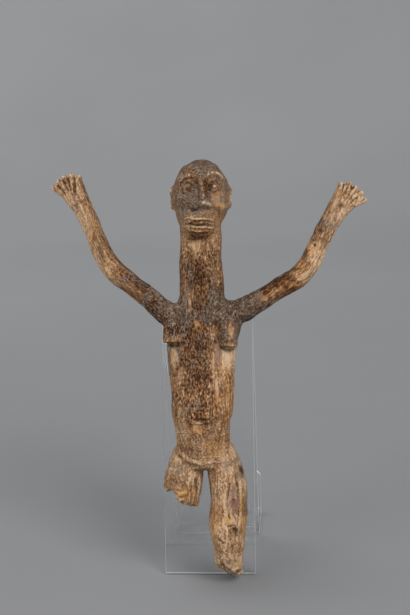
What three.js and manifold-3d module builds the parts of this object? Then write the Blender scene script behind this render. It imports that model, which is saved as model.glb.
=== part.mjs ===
// A carved wooden figure with raised arms, leaning back on an easel folded from one clear sheet.
// Millimetres, +Z up, the figure facing -Y. The origin is below the middle of the whole, on the ground.
import * as THREE from "three";
import { mergeVertices } from "three/addons/utils/BufferGeometryUtils.js";
import Module from "manifold-3d";

const wasm = await Module();
wasm.setup();

// Driving dimensions
const figureHeight = 300;
const touchGap = 0.3; // between the figure's back and the sheet it leans on
const sheetThickness = 3;
const easelWidth = 66;
const easelLean = 10.5; // degrees that the front plate leans back
const plateLength = 215.5; // along the front plate, up to where its line meets the rear leg's
const legReach = 71; // from the front edge back to the foot of the rear leg
const shelfDepth = 44.4;
const lipHeight = 36.4;
const lipCornerRadius = 5;
const foldRadius = 4.5; // of the sheet's middle line, at each fold

const lean = THREE.MathUtils.degToRad(easelLean);
const fullTurn = 2 * Math.PI;

// The figure's pose and carving are shares of its height, in hundredths. It is modelled upright,
// with x to its left hand, -y to its front and z up from just above the tip of the broken leg.
const hundredth = figureHeight / 100;
const share = (x, y, z) => new THREE.Vector3(x, y, z).multiplyScalar(hundredth);

// Each row is [x, y, z, half width, half depth] of one section.
const trunkRows = [
  [-0.4, -6.0, 27.2, 6.8, 3.7],
  [-0.4, -6.0, 28.4, 8.4, 5.0],
  [-0.5, -6.6, 30.3, 7.5, 5.6],
  [-0.5, -7.3, 32.7, 6.4, 5.3],
  [-0.6, -7.9, 34.8, 6.4, 5.3],
  [-0.8, -8.2, 38.7, 6.7, 5.6],
  [-0.7, -8.2, 41.0, 7.2, 5.7],
  [-0.5, -7.7, 45.8, 7.5, 5.6],
  [-0.7, -6.8, 50.7, 7.8, 5.3],
  [-0.8, -6.1, 55.3, 8.2, 5.1],
  [-0.6, -5.7, 59.0, 8.6, 5.2],
  [-0.3, -5.5, 61.8, 9.1, 5.2],
  [-0.4, -5.6, 63.9, 8.4, 4.9],
  [-0.45, -6.0, 66.0, 6.8, 4.7],
  [-0.5, -6.3, 67.3, 5.4, 4.6],
  [-0.5, -6.4, 72.0, 5.3, 4.7],
  [-0.7, -6.3, 76.3, 5.0, 4.8],
  [-0.5, -6.2, 81.3, 4.9, 5.0],
  [-0.6, -6.0, 86.0, 4.8, 5.0],
  [-0.5, -5.8, 89.3, 4.0, 4.0],
];
const headRows = [
  [-0.8, -11.0, 81.9, 2.3, 2.0],
  [-0.8, -9.7, 83.1, 3.8, 3.7],
  [-0.8, -8.4, 85.0, 4.6, 5.2],
  [-0.7, -7.2, 87.0, 5.6, 6.6],
  [-0.4, -6.5, 89.3, 6.5, 7.3],
  [-0.3, -6.2, 92.0, 6.6, 7.7],
  [-0.3, -6.0, 94.6, 6.35, 7.6],
  [-0.3, -5.9, 96.9, 5.3, 6.7],
  [-0.2, -5.8, 98.7, 3.9, 5.1],
  [-0.2, -5.8, 99.7, 2.2, 3.0],
];
const legRows = [
  [3.8, -6.3, 32.6, 2.6, 3.3],
  [4.1, -6.3, 29.6, 3.6, 4.7],
  [4.5, -6.2, 26.3, 4.3, 5.1],
  [5.1, -6.0, 23.0, 4.4, 5.1],
  [5.1, -6.0, 19.3, 4.4, 5.0],
  [5.0, -5.8, 15.7, 4.6, 4.8],
  [4.8, -5.8, 12.3, 4.3, 4.7],
  [5.0, -5.6, 8.7, 3.8, 4.3],
  [4.8, -4.8, 5.0, 3.35, 4.1],
  [4.75, -3.9, 0.0, 3.0, 3.7],
  [4.7, -3.7, -4.0, 2.8, 3.5],
];
const stumpRows = [
  [-3.7, -6.3, 32.6, 2.8, 3.3],
  [-4.7, -6.3, 29.8, 3.9, 4.7],
  [-5.1, -6.2, 26.7, 4.4, 5.1],
  [-5.7, -6.0, 23.7, 4.6, 5.0],
  [-5.8, -6.0, 21.3, 4.5, 4.8],
  [-5.4, -5.8, 19.0, 3.6, 4.4],
  [-5.3, -5.7, 17.5, 2.6, 3.4],
];
const rightArmRows = [
  [-4.0, -5.7, 62.0, 3.0, 3.3],
  [-8.0, -5.7, 63.5, 3.0, 3.4],
  [-12.4, -5.7, 67.1, 2.6, 2.7],
  [-16.7, -5.8, 70.7, 2.5, 2.3],
  [-20.7, -6.0, 73.7, 2.6, 2.3],
  [-23.2, -6.0, 77.0, 2.5, 2.3],
  [-25.2, -6.2, 81.6, 2.3, 2.2],
  [-27.1, -6.3, 86.4, 2.3, 2.0],
  [-28.8, -6.5, 89.9, 2.5, 1.9],
  [-30.5, -6.7, 93.2, 3.0, 1.7],
  [-31.6, -6.8, 95.2, 3.3, 1.4],
];
const leftArmRows = [
  [4.0, -5.7, 63.3, 3.0, 3.3],
  [9.0, -5.7, 64.7, 3.0, 3.4],
  [13.7, -5.7, 67.2, 2.5, 2.7],
  [18.5, -5.8, 70.2, 2.5, 2.3],
  [22.5, -6.0, 72.6, 2.6, 2.3],
  [25.3, -6.0, 76.0, 2.5, 2.3],
  [27.4, -6.2, 80.7, 2.3, 2.2],
  [30.2, -6.3, 85.7, 2.4, 2.0],
  [32.0, -6.5, 88.3, 2.7, 1.8],
  [33.7, -6.7, 90.7, 3.1, 1.6],
  [34.8, -6.8, 92.2, 3.3, 1.4],
];

// Fingers fan out from a point in the palm, the thumb first, each to its own length.
const hands = [
  { root: [-29.8, -6.7, 90.4], thumbAngle: 84, turn: 15.2, lengths: [6.8, 7.4, 7.5, 7.4, 7.3] },
  { root: [31.7, -6.7, 87.1], thumbAngle: 83, turn: -14.2, lengths: [7.3, 7.9, 7.8, 7.7, 7.4] },
];
const fingerRootShare = 0.4;
const fingerRows = [
  [fingerRootShare, 0.65, 0.9],
  [0.75, 0.8, 0.8],
  [0.93, 0.72, 0.65],
]; // each [share of the length, half width, half depth]

// Breasts slope forward from the chest to a flat ledge, and buttocks stand out at the back.
const breastRows = [
  [
    [-5.0, -6.9, 64.9, 2.5, 2.2],
    [-6.8, -8.9, 61.3, 2.6, 3.0],
    [-6.8, -9.0, 57.6, 2.7, 3.1],
  ],
  [
    [4.8, -6.9, 64.7, 2.3, 2.2],
    [5.9, -8.9, 60.8, 2.2, 3.0],
    [5.9, -9.0, 56.5, 2.0, 3.1],
  ],
];
const buttockRows = [
  [
    [-4.3, -4.0, 24.0, 2.7, 2.7],
    [-4.4, -3.6, 27.8, 3.8, 3.5],
    [-4.0, -4.2, 31.6, 2.7, 2.6],
  ],
  [
    [3.7, -4.0, 24.0, 2.7, 2.7],
    [3.8, -3.6, 27.8, 3.8, 3.5],
    [3.4, -4.2, 31.6, 2.7, 2.6],
  ],
];
const navel = { x: -0.6, y: -13.2, z: 40.3, width: 4.4, depth: 2.2, height: 2.7, bevel: 0.3 };

// The face, as forward relief on the head: [across, up, half width, half height, push].
const faceTurn = 4; // degrees that the head is turned to the figure's left
const face = { middle: -0.4, chin: 82.0, fadeFrom: 0.15, fadeTo: 0.6 };
const faceBumps = [
  [0.4, 11.5, 0.8, 3.2, 0.75],
  [0.6, 8.2, 1.1, 1.9, 1.5],
  [0.6, 7.3, 1.8, 0.8, 0.9],
  [-0.2, 3.2, 4.4, 2.6, 0.6],
  [-0.2, 4.0, 3.8, 0.55, 0.75],
  [-0.2, 2.1, 3.6, 0.7, 0.8],
  [-0.2, 3.1, 3.8, 0.4, -0.5],
];
const pairedFaceBumps = [
  [3.2, 14.0, 2.4, 0.8, 0.5],
  [3.1, 11.5, 2.4, 1.9, -0.95],
  [3.1, 11.3, 1.7, 1.05, 0.95],
  [3.8, 8.2, 2.0, 2.2, 0.25],
];
const earRows = [
  [6.0, -6.2, 94.0, 0.5, 0.9],
  [6.8, -5.8, 93.0, 0.6, 1.1],
  [6.5, -5.8, 91.0, 0.5, 1.2],
  [6.7, -6.2, 89.4, 0.6, 1.0],
  [5.8, -6.6, 88.6, 0.5, 0.7],
];

// Breaks: where wood is lost, below a ragged surface over x and y.
const legBreak = {
  x: 5.2,
  y: -5.0,
  size: 12,
  steps: 10,
  drop: 12,
  tip: { x: 7.0, y: -0.6, z: -0.85 },
  riseAcross: 0.45,
  riseForward: 0.46,
};
const stumpBreak = {
  x: -6.0,
  y: -6.0,
  size: 13,
  steps: 11,
  drop: 12,
  low: { x: -3.2, y: -6.0, z: 18.1 },
  riseAcross: 0.36,
  riseForward: 0.12,
  shelf: { from: -6.9, to: -7.4, z: 22.5 },
};
const raggedness = 0.4;
// Splinters: waves over a break that never repeat, each [height, rate over x, rate over y, phase].
const splinterWaves = [
  [0.5, 3.1, 1.3, 0],
  [0.35, -1.9, 4.3, 1],
];
// Hollows: ellipsoids cut away, each with its centre, its radii and its tilt about y in degrees.
const hollows = [
  { at: [6.4, -10.8, 15.6], radii: [1.7, 1.5, 4.9], tilt: 2 },
  { at: [8.9, -9.4, 25.4], radii: [0.35, 2.2, 2.3], tilt: -12 },
  { at: [-2.9, -10.8, 20.6], radii: [0.55, 1.0, 2.6], tilt: 6 },
];

// How finely each body is faceted: [round it, along it].
const facets = {
  trunk: [26, 38],
  skull: [36, 32],
  ear: [6, 12],
  arm: [12, 28],
  finger: [7, 7],
  leg: [18, 24],
  stump: [18, 14],
  breast: [14, 9],
  buttock: [14, 10],
  hollow: [12, 8],
};

function solidOf(geometry) {
  const bare = geometry.clone();
  bare.deleteAttribute("normal");
  bare.deleteAttribute("uv");
  const merged = mergeVertices(bare, 1e-4);
  return new wasm.Manifold(
    new wasm.Mesh({
      numProp: 3,
      vertProperties: merged.attributes.position.array,
      triVerts: new Uint32Array(merged.index.array),
    }),
  );
}

function geometryOf(solid) {
  const mesh = solid.getMesh();
  const geometry = new THREE.BufferGeometry();
  geometry.setAttribute("position", new THREE.BufferAttribute(mesh.vertProperties, mesh.numProp));
  geometry.setIndex(new THREE.BufferAttribute(mesh.triVerts, 1));
  geometry.computeVertexNormals();
  return geometry;
}

const joined = (geometries) => geometries.map(solidOf).reduce((whole, next) => whole.add(next));

// A closed round body along a curve through the rows. Its ends are domes, each as many hundredths
// long as its round says. A low squareness makes the section boxy, and a front share above zero
// crowds the facets towards the front.
function limb(rows, [around, along], shape) {
  const { startRound = 0.5, endRound = 0.5, squareness = 1, frontShare = 0, carve } = shape;
  const domeRings = 2;
  const spine = new THREE.CatmullRomCurve3(rows.map(([x, y, z]) => share(x, y, z)));
  const girth = new THREE.CatmullRomCurve3(rows.map((row) => share(row[3], row[4], 0)));
  const geometry = new THREE.SphereGeometry(1, around, along);
  const position = geometry.attributes.position;
  const depthAxis = new THREE.Vector3();
  const widthAxis = new THREE.Vector3();
  for (let i = 0; i < position.count; i++) {
    const column = (i % (around + 1)) % around;
    const ring = along - Math.floor(i / (around + 1));
    const startDome = Math.min(ring / domeRings, 1);
    const endDome = Math.min((along - ring) / domeRings, 1);
    const t = THREE.MathUtils.clamp((ring - domeRings) / (along - 2 * domeRings), 0, 1);
    const radius = Math.sin((Math.min(startDome, endDome) * Math.PI) / 2);
    const slide =
      endRound * Math.cos((endDome * Math.PI) / 2) - startRound * Math.cos((startDome * Math.PI) / 2);
    const even = (column / around) * fullTurn;
    const angle = even - frontShare * Math.sin(even) - Math.PI / 2;
    const tangent = spine.getTangent(t);
    depthAxis.set(0, 1, 0).addScaledVector(tangent, -tangent.y).normalize();
    widthAxis.crossVectors(depthAxis, tangent);
    const size = girth.getPoint(t).multiplyScalar(radius);
    const across = Math.sign(Math.cos(angle)) * Math.abs(Math.cos(angle)) ** squareness;
    const back = Math.sign(Math.sin(angle)) * Math.abs(Math.sin(angle)) ** squareness;
    const point = spine
      .getPoint(t)
      .addScaledVector(tangent, slide * hundredth)
      .addScaledVector(widthAxis, size.x * across)
      .addScaledVector(depthAxis, size.y * back);
    if (carve) carve(point, -radius * Math.sin(angle));
    position.setXYZ(i, point.x, point.y, point.z);
  }
  return geometry;
}

// A soft bump that is 1 at its middle and falls to nothing two half sizes away.
function bump(across, up, halfWidth, halfHeight) {
  return Math.exp(-((across / halfWidth) ** 2) - (up / halfHeight) ** 2);
}

// Pushes a point of the head forward by the face's relief, fading out towards the sides.
function carveFace(point, facing) {
  const across = point.x / hundredth - face.middle;
  const up = point.z / hundredth - face.chin;
  const fade = THREE.MathUtils.smoothstep(facing, face.fadeFrom, face.fadeTo);
  let push = 0;
  for (const [x, z, width, height, depth] of faceBumps) {
    push += depth * bump(across - x, up - z, width, height);
  }
  for (const [x, z, width, height, depth] of pairedFaceBumps) {
    push += depth * bump(Math.abs(across) - x, up - z, width, height);
  }
  point.y -= push * fade * hundredth;
}

function head() {
  const skullShape = { squareness: 0.93, frontShare: 0.42, carve: carveFace };
  const skull = limb(headRows, facets.skull, skullShape);
  const ears = [-1, 1].map((side) => {
    const rows = earRows.map(([x, ...rest]) => [side * x + face.middle, ...rest]);
    return limb(rows, facets.ear, { startRound: 0.3, endRound: 0.3 });
  });
  const [, neckY] = trunkRows[trunkRows.length - 1];
  const pivot = share(face.middle, neckY, 0);
  for (const geometry of [skull, ...ears]) {
    geometry.translate(-pivot.x, -pivot.y, 0);
    geometry.rotateZ(THREE.MathUtils.degToRad(faceTurn));
    geometry.translate(pivot.x, pivot.y, 0);
  }
  return [skull, ...ears];
}

function fingers({ root, thumbAngle, turn, lengths }) {
  return lengths.map((length, i) => {
    const angle = THREE.MathUtils.degToRad(thumbAngle + i * turn);
    const rows = fingerRows.map(([along, width, depth]) => [
      root[0] + along * length * Math.cos(angle),
      root[1],
      root[2] + along * length * Math.sin(angle),
      width,
      depth,
    ]);
    return limb(rows, facets.finger, { startRound: 0.3 });
  });
}

function navelBlock() {
  const { x, y, z, width, depth, height, bevel } = navel;
  const outline = new THREE.Shape();
  const [halfWidth, halfHeight] = [(width / 2 - bevel) * hundredth, (height / 2 - bevel) * hundredth];
  outline.moveTo(-halfWidth, -halfHeight);
  outline.lineTo(halfWidth, -halfHeight);
  outline.lineTo(halfWidth, halfHeight);
  outline.lineTo(-halfWidth, halfHeight);
  outline.closePath();
  const geometry = new THREE.ExtrudeGeometry(outline, {
    depth: (depth - 2 * bevel) * hundredth,
    bevelSize: bevel * hundredth,
    bevelThickness: bevel * hundredth,
    bevelSegments: 1,
  });
  const centre = share(x, y, z);
  return geometry
    .translate(0, 0, -((depth - 2 * bevel) / 2) * hundredth)
    .rotateX(Math.PI / 2)
    .translate(centre.x, centre.y, centre.z);
}

// A block whose ragged top is the surface that a break leaves, to be cut away from below.
function breakBlock({ x, y, size, steps, drop }, surface) {
  const geometry = new THREE.BoxGeometry(size, size, drop, steps, steps, 1);
  const position = geometry.attributes.position;
  for (let i = 0; i < position.count; i++) {
    const px = position.getX(i) + x;
    const py = position.getY(i) + y;
    const pz = position.getZ(i) > 0 ? surface(px, py) : -drop;
    const point = share(px, py, pz);
    position.setXYZ(i, point.x, point.y, point.z);
  }
  return geometry;
}

function splinters(x, y) {
  const heights = splinterWaves.map(([height, rateX, rateY, phase]) => {
    return height * Math.sin(rateX * x + rateY * y + phase);
  });
  return raggedness * heights.reduce((sum, height) => sum + height);
}

// The leg is lost below a surface that runs down from all sides to a tip near its outer back edge.
function legBreakSurface(x, y) {
  const { tip, riseAcross, riseForward } = legBreak;
  const rise = riseAcross * Math.abs(tip.x - x) + riseForward * Math.max(tip.y - y, 0);
  return tip.z + rise + splinters(x, y) * Math.min(rise, 1);
}

// The thigh is lost below a shelf at its outer side and a slope down to its inner side.
function stumpBreakSurface(x, y) {
  const { low, riseAcross, riseForward, shelf } = stumpBreak;
  const slope = low.z + riseAcross * Math.max(low.x - x, 0) + riseForward * (low.y - y);
  const onShelf = THREE.MathUtils.smoothstep(-x, -shelf.from, -shelf.to);
  return THREE.MathUtils.lerp(slope, shelf.z, onShelf) + splinters(x, y);
}

function hollow({ at, radii, tilt }) {
  const [x, y, z] = share(...at).toArray();
  return new THREE.SphereGeometry(hundredth, ...facets.hollow)
    .scale(...radii)
    .rotateY(THREE.MathUtils.degToRad(tilt))
    .translate(x, y, z);
}

function figureGeometry() {
  const breastShape = { startRound: 1.5, endRound: 0.15, squareness: 0.6 };
  const buttockShape = { startRound: 2, endRound: 2 };
  const solids = [
    limb(trunkRows, facets.trunk, { squareness: 0.88 }),
    ...head(),
    limb(rightArmRows, facets.arm, {}),
    limb(leftArmRows, facets.arm, {}),
    ...hands.flatMap(fingers),
    limb(legRows, facets.leg, { squareness: 0.92 }),
    limb(stumpRows, facets.stump, { squareness: 0.92, endRound: 1.2 }),
    ...breastRows.map((rows) => limb(rows, facets.breast, breastShape)),
    ...buttockRows.map((rows) => limb(rows, facets.buttock, buttockShape)),
    navelBlock(),
  ];
  const lost = [
    breakBlock(legBreak, legBreakSurface),
    breakBlock(stumpBreak, stumpBreakSurface),
    ...hollows.map(hollow),
  ];
  return geometryOf(lost.map(solidOf).reduce((whole, cut) => whole.subtract(cut), joined(solids)));
}

// The easel's outline from the side, over y and z: a sheet of even thickness along the corners,
// with a round fold at each one between its two ends.
function foldedSheetShape(corners) {
  const foldSteps = 10;
  const path = [];
  for (let i = 0; i < corners.length; i++) {
    const here = corners[i];
    const before = corners[i - 1] && here.clone().sub(corners[i - 1]).normalize();
    const after = corners[i + 1] && corners[i + 1].clone().sub(here).normalize();
    if (!before || !after) {
      const run = before ?? after;
      path.push({ at: here, side: new THREE.Vector2(-run.y, run.x) });
      continue;
    }
    const turn = Math.atan2(before.cross(after), before.dot(after));
    const start = here.clone().addScaledVector(before, -foldRadius * Math.tan(Math.abs(turn) / 2));
    const centreSide = new THREE.Vector2(-before.y, before.x).multiplyScalar(Math.sign(turn));
    const centre = start.clone().addScaledVector(centreSide, foldRadius);
    for (let step = 0; step <= foldSteps; step++) {
      const angle = (turn * step) / foldSteps;
      const at = start.clone().rotateAround(centre, angle);
      const side = new THREE.Vector2(-before.y, before.x).rotateAround(new THREE.Vector2(), angle);
      path.push({ at, side });
    }
  }
  const half = sheetThickness / 2;
  const left = path.map(({ at, side }) => at.clone().addScaledVector(side, half));
  const right = path.map(({ at, side }) => at.clone().addScaledVector(side, -half));
  return new THREE.Shape([...right, ...left.reverse()]);
}

// Takes the square corner off the lip at one side, down to a quarter round.
function lipCorner(side, lipY) {
  const radius = lipCornerRadius;
  const over = 1; // the cutter stands proud of the sheet by this much
  const corner = new THREE.Shape();
  corner.moveTo(over, over);
  corner.lineTo(-radius, over);
  corner.lineTo(-radius, 0);
  corner.absarc(-radius, -radius, radius, Math.PI / 2, 0, true);
  corner.lineTo(over, -radius);
  corner.closePath();
  const depth = sheetThickness + 2 * over;
  const geometry = new THREE.ExtrudeGeometry(corner, { depth, bevelEnabled: false, curveSegments: 6 });
  geometry.rotateX(Math.PI / 2).translate(easelWidth / 2, lipY + depth / 2, lipHeight);
  return side > 0 ? geometry : geometry.rotateZ(Math.PI).translate(0, 2 * lipY, 0);
}

function easelGeometry() {
  const half = sheetThickness / 2;
  const up = new THREE.Vector2(Math.sin(lean), Math.cos(lean));
  const foot = new THREE.Vector2(half * Math.cos(lean), half * Math.sin(lean));
  const fold = foot.clone().addScaledVector(up, plateLength);
  const lipY = legReach + shelfDepth;
  const corners = [
    foot,
    fold,
    new THREE.Vector2(legReach, half),
    new THREE.Vector2(lipY, half),
    new THREE.Vector2(lipY, lipHeight),
  ];
  const geometry = new THREE.ExtrudeGeometry(foldedSheetShape(corners), {
    depth: easelWidth,
    bevelEnabled: false,
  });
  const [acrossY, upZ, alongX] = [
    new THREE.Vector3(0, 1, 0),
    new THREE.Vector3(0, 0, 1),
    new THREE.Vector3(1, 0, 0),
  ];
  geometry.applyMatrix4(new THREE.Matrix4().makeBasis(acrossY, upZ, alongX));
  geometry.translate(-easelWidth / 2, 0, 0);
  const trimmed = [-1, 1].reduce(
    (sheet, side) => sheet.subtract(solidOf(lipCorner(side, lipY))),
    solidOf(geometry),
  );
  return geometryOf(trimmed);
}

// How far to move the figure in the plate's own leaning frame, so that its back meets the plate
// and the tip of its leg meets the ground.
function seatOnPlate(geometry, plateFoot) {
  const position = geometry.attributes.position;
  let back = -Infinity;
  let lowest = Infinity;
  for (let i = 0; i < position.count; i++) {
    if (position.getZ(i) < plateLength) back = Math.max(back, position.getY(i));
    lowest = Math.min(lowest, position.getZ(i) * Math.cos(lean) - position.getY(i) * Math.sin(lean));
  }
  const y = -touchGap - back;
  const z = (y * Math.sin(lean) - lowest - plateFoot) / Math.cos(lean);
  return new THREE.Vector3(0, y, z);
}

const clearSheet = new THREE.MeshStandardMaterial({
  color: 0xe8eeee,
  roughness: 0.08,
  metalness: 0,
  transparent: true,
  opacity: 0.3,
});
const easelMesh = new THREE.Mesh(easelGeometry(), clearSheet);
easelMesh.name = "easel";

const carvedWood = new THREE.MeshStandardMaterial({ color: 0x6f5238, roughness: 0.85, metalness: 0 });
const figureMesh = new THREE.Mesh(figureGeometry(), carvedWood);
figureMesh.name = "figure";

// The plate's front face starts as high as its square cut end leans over the ground.
const plateFoot = sheetThickness * Math.sin(lean);
figureMesh.position.copy(seatOnPlate(figureMesh.geometry, plateFoot));
const leaning = new THREE.Group();
leaning.position.z = plateFoot;
leaning.rotation.x = -lean;
leaning.add(figureMesh);

const statue = new THREE.Group();
statue.add(leaning, easelMesh);
const extent = new THREE.Box3().setFromObject(statue, true);
const middle = extent.getCenter(new THREE.Vector3());
statue.position.set(-middle.x, -middle.y, -extent.min.z);

const model = new THREE.Group();
model.add(statue);

export default model;
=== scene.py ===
import itertools
import math

import bpy
import numpy as np
from mathutils import Matrix, Vector


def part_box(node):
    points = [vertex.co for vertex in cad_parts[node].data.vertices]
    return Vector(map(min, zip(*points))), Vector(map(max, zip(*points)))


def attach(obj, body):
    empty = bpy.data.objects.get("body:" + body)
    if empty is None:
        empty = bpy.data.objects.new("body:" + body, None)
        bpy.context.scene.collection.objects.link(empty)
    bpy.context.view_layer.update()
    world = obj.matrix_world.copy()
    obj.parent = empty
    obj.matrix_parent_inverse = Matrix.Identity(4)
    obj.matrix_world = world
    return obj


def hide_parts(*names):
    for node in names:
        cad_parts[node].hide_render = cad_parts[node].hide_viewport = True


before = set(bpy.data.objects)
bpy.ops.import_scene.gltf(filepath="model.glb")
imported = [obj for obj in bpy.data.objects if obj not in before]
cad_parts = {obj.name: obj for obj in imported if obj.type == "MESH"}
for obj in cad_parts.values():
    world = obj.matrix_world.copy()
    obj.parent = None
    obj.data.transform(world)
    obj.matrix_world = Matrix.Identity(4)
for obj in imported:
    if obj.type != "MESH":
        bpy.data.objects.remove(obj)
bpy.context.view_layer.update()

# Driving sizes
METRES = 0.001
LEAN = math.radians(10.5)
SHEET_THICKNESS = 3.0
CARVING_CELL = 0.62
MOST_TRIANGLES = 192000
SMOOTHING_ROUNDS = 26
SMOOTHING_PULLS = (0.63, -0.66)
BLENDING_ROUNDS = 110
BLENDING_PULL = 0.6
EDGE_ROUND = 0.3
FLOOR_GAP = 0.4
BROAD_LINE = 1.4
LINE_WEAR = 2.6
LEVEL_BLUR = 4.0
FRAY_SIZE = 5

# Places on the figure: how far out the arm leaves the body and where it bends, how steeply it climbs
# on either side of that, and how far up the other parts lie.
SHOULDER = 24
ELBOW = (70, 222)
UPPER_ARM_CLIMB = math.radians(38)
FOREARM_CLIMB = math.radians(66)
WRIST = 268
KNEE = 54
PELVIS_TOP = 96
UNDER_BREASTS = 150
RIGHT_LEDGE = 176
LEFT_LEDGE = 174
NECK_TOP = 240
CHIN = 250
CROWN = 286

ACROSS = np.array([1.0, 0.0, 0.0])
UP = np.array([0.0, math.sin(LEAN), math.cos(LEAN)])
OUT = np.array([0.0, -math.cos(LEAN), math.sin(LEAN)])
AXES = np.stack([ACROSS, UP, OUT])

easel_low, easel_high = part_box("easel")
plate_middle = (easel_low.x + easel_high.x) / 2 / METRES
plate_front = easel_low.y / METRES
PLATE_FOOT = np.array([plate_middle, plate_front, SHEET_THICKNESS * math.sin(LEAN)])

# The relief of the wood: how high each kind stands and how large its lumps are. Where there are
# three sizes, they are across the grain, outwards and along it.
SWELL_HEIGHT, SWELL_SIZE = 0.45, 16
FACET_HEIGHT, FACET_DEPTH, FACET_SIZE = 0.55, 0.2, [6, 6, 17]
FIBRE_HEIGHT, FIBRE_SIZE = 0.22, [1.9, 1.9, 15]
CRACK_DEPTH, CRACK_SIZE = 0.5, [3.4, 3.4, 30]
GRIT_HEIGHT, GRIT_SIZE = 0.24, 1.9
PIT_DEPTH, PIT_SIZE = 0.7, 2.2
SPLINTER_HEIGHT, SPLINTER_SIZE, CRUMB_SIZE = 1.1, [2.0, 2.0, 7], 3.0

ACRYLIC_IOR = 1.49

# The photograph's camera: where it stands round the aim, how it is turned, and its lens, given in
# pixels of the photograph as its height is.
CAMERA_AZIMUTH = math.radians(4.91)
CAMERA_HEIGHT = math.radians(13.79)
CAMERA_ROLL = math.radians(-1.82)
CAMERA_DISTANCE = 904
AIM = Vector((plate_middle + 2.1, plate_front, 201.2))
PHOTOGRAPH_HEIGHT = 615
FOCAL_LENGTH = 1300
SENSOR_WIDTH = 36

# The soft lights, in metres and watts: name, place, aim, size and power.
ROOM_LIGHTS = [
    ("key_light", (0.95, -1.15, 1.35), (0, 0, 0.17), 0.9, 22.0),
    ("fill_light", (-1.3, -1.1, 0.9), (0, 0, 0.17), 1.2, 11.0),
    ("wall_light", (-0.7, 0.5, 2.2), (-0.5, 1.6, 0.4), 1.2, 21.0),
]
SKY_STRENGTH = 0.32

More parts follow.
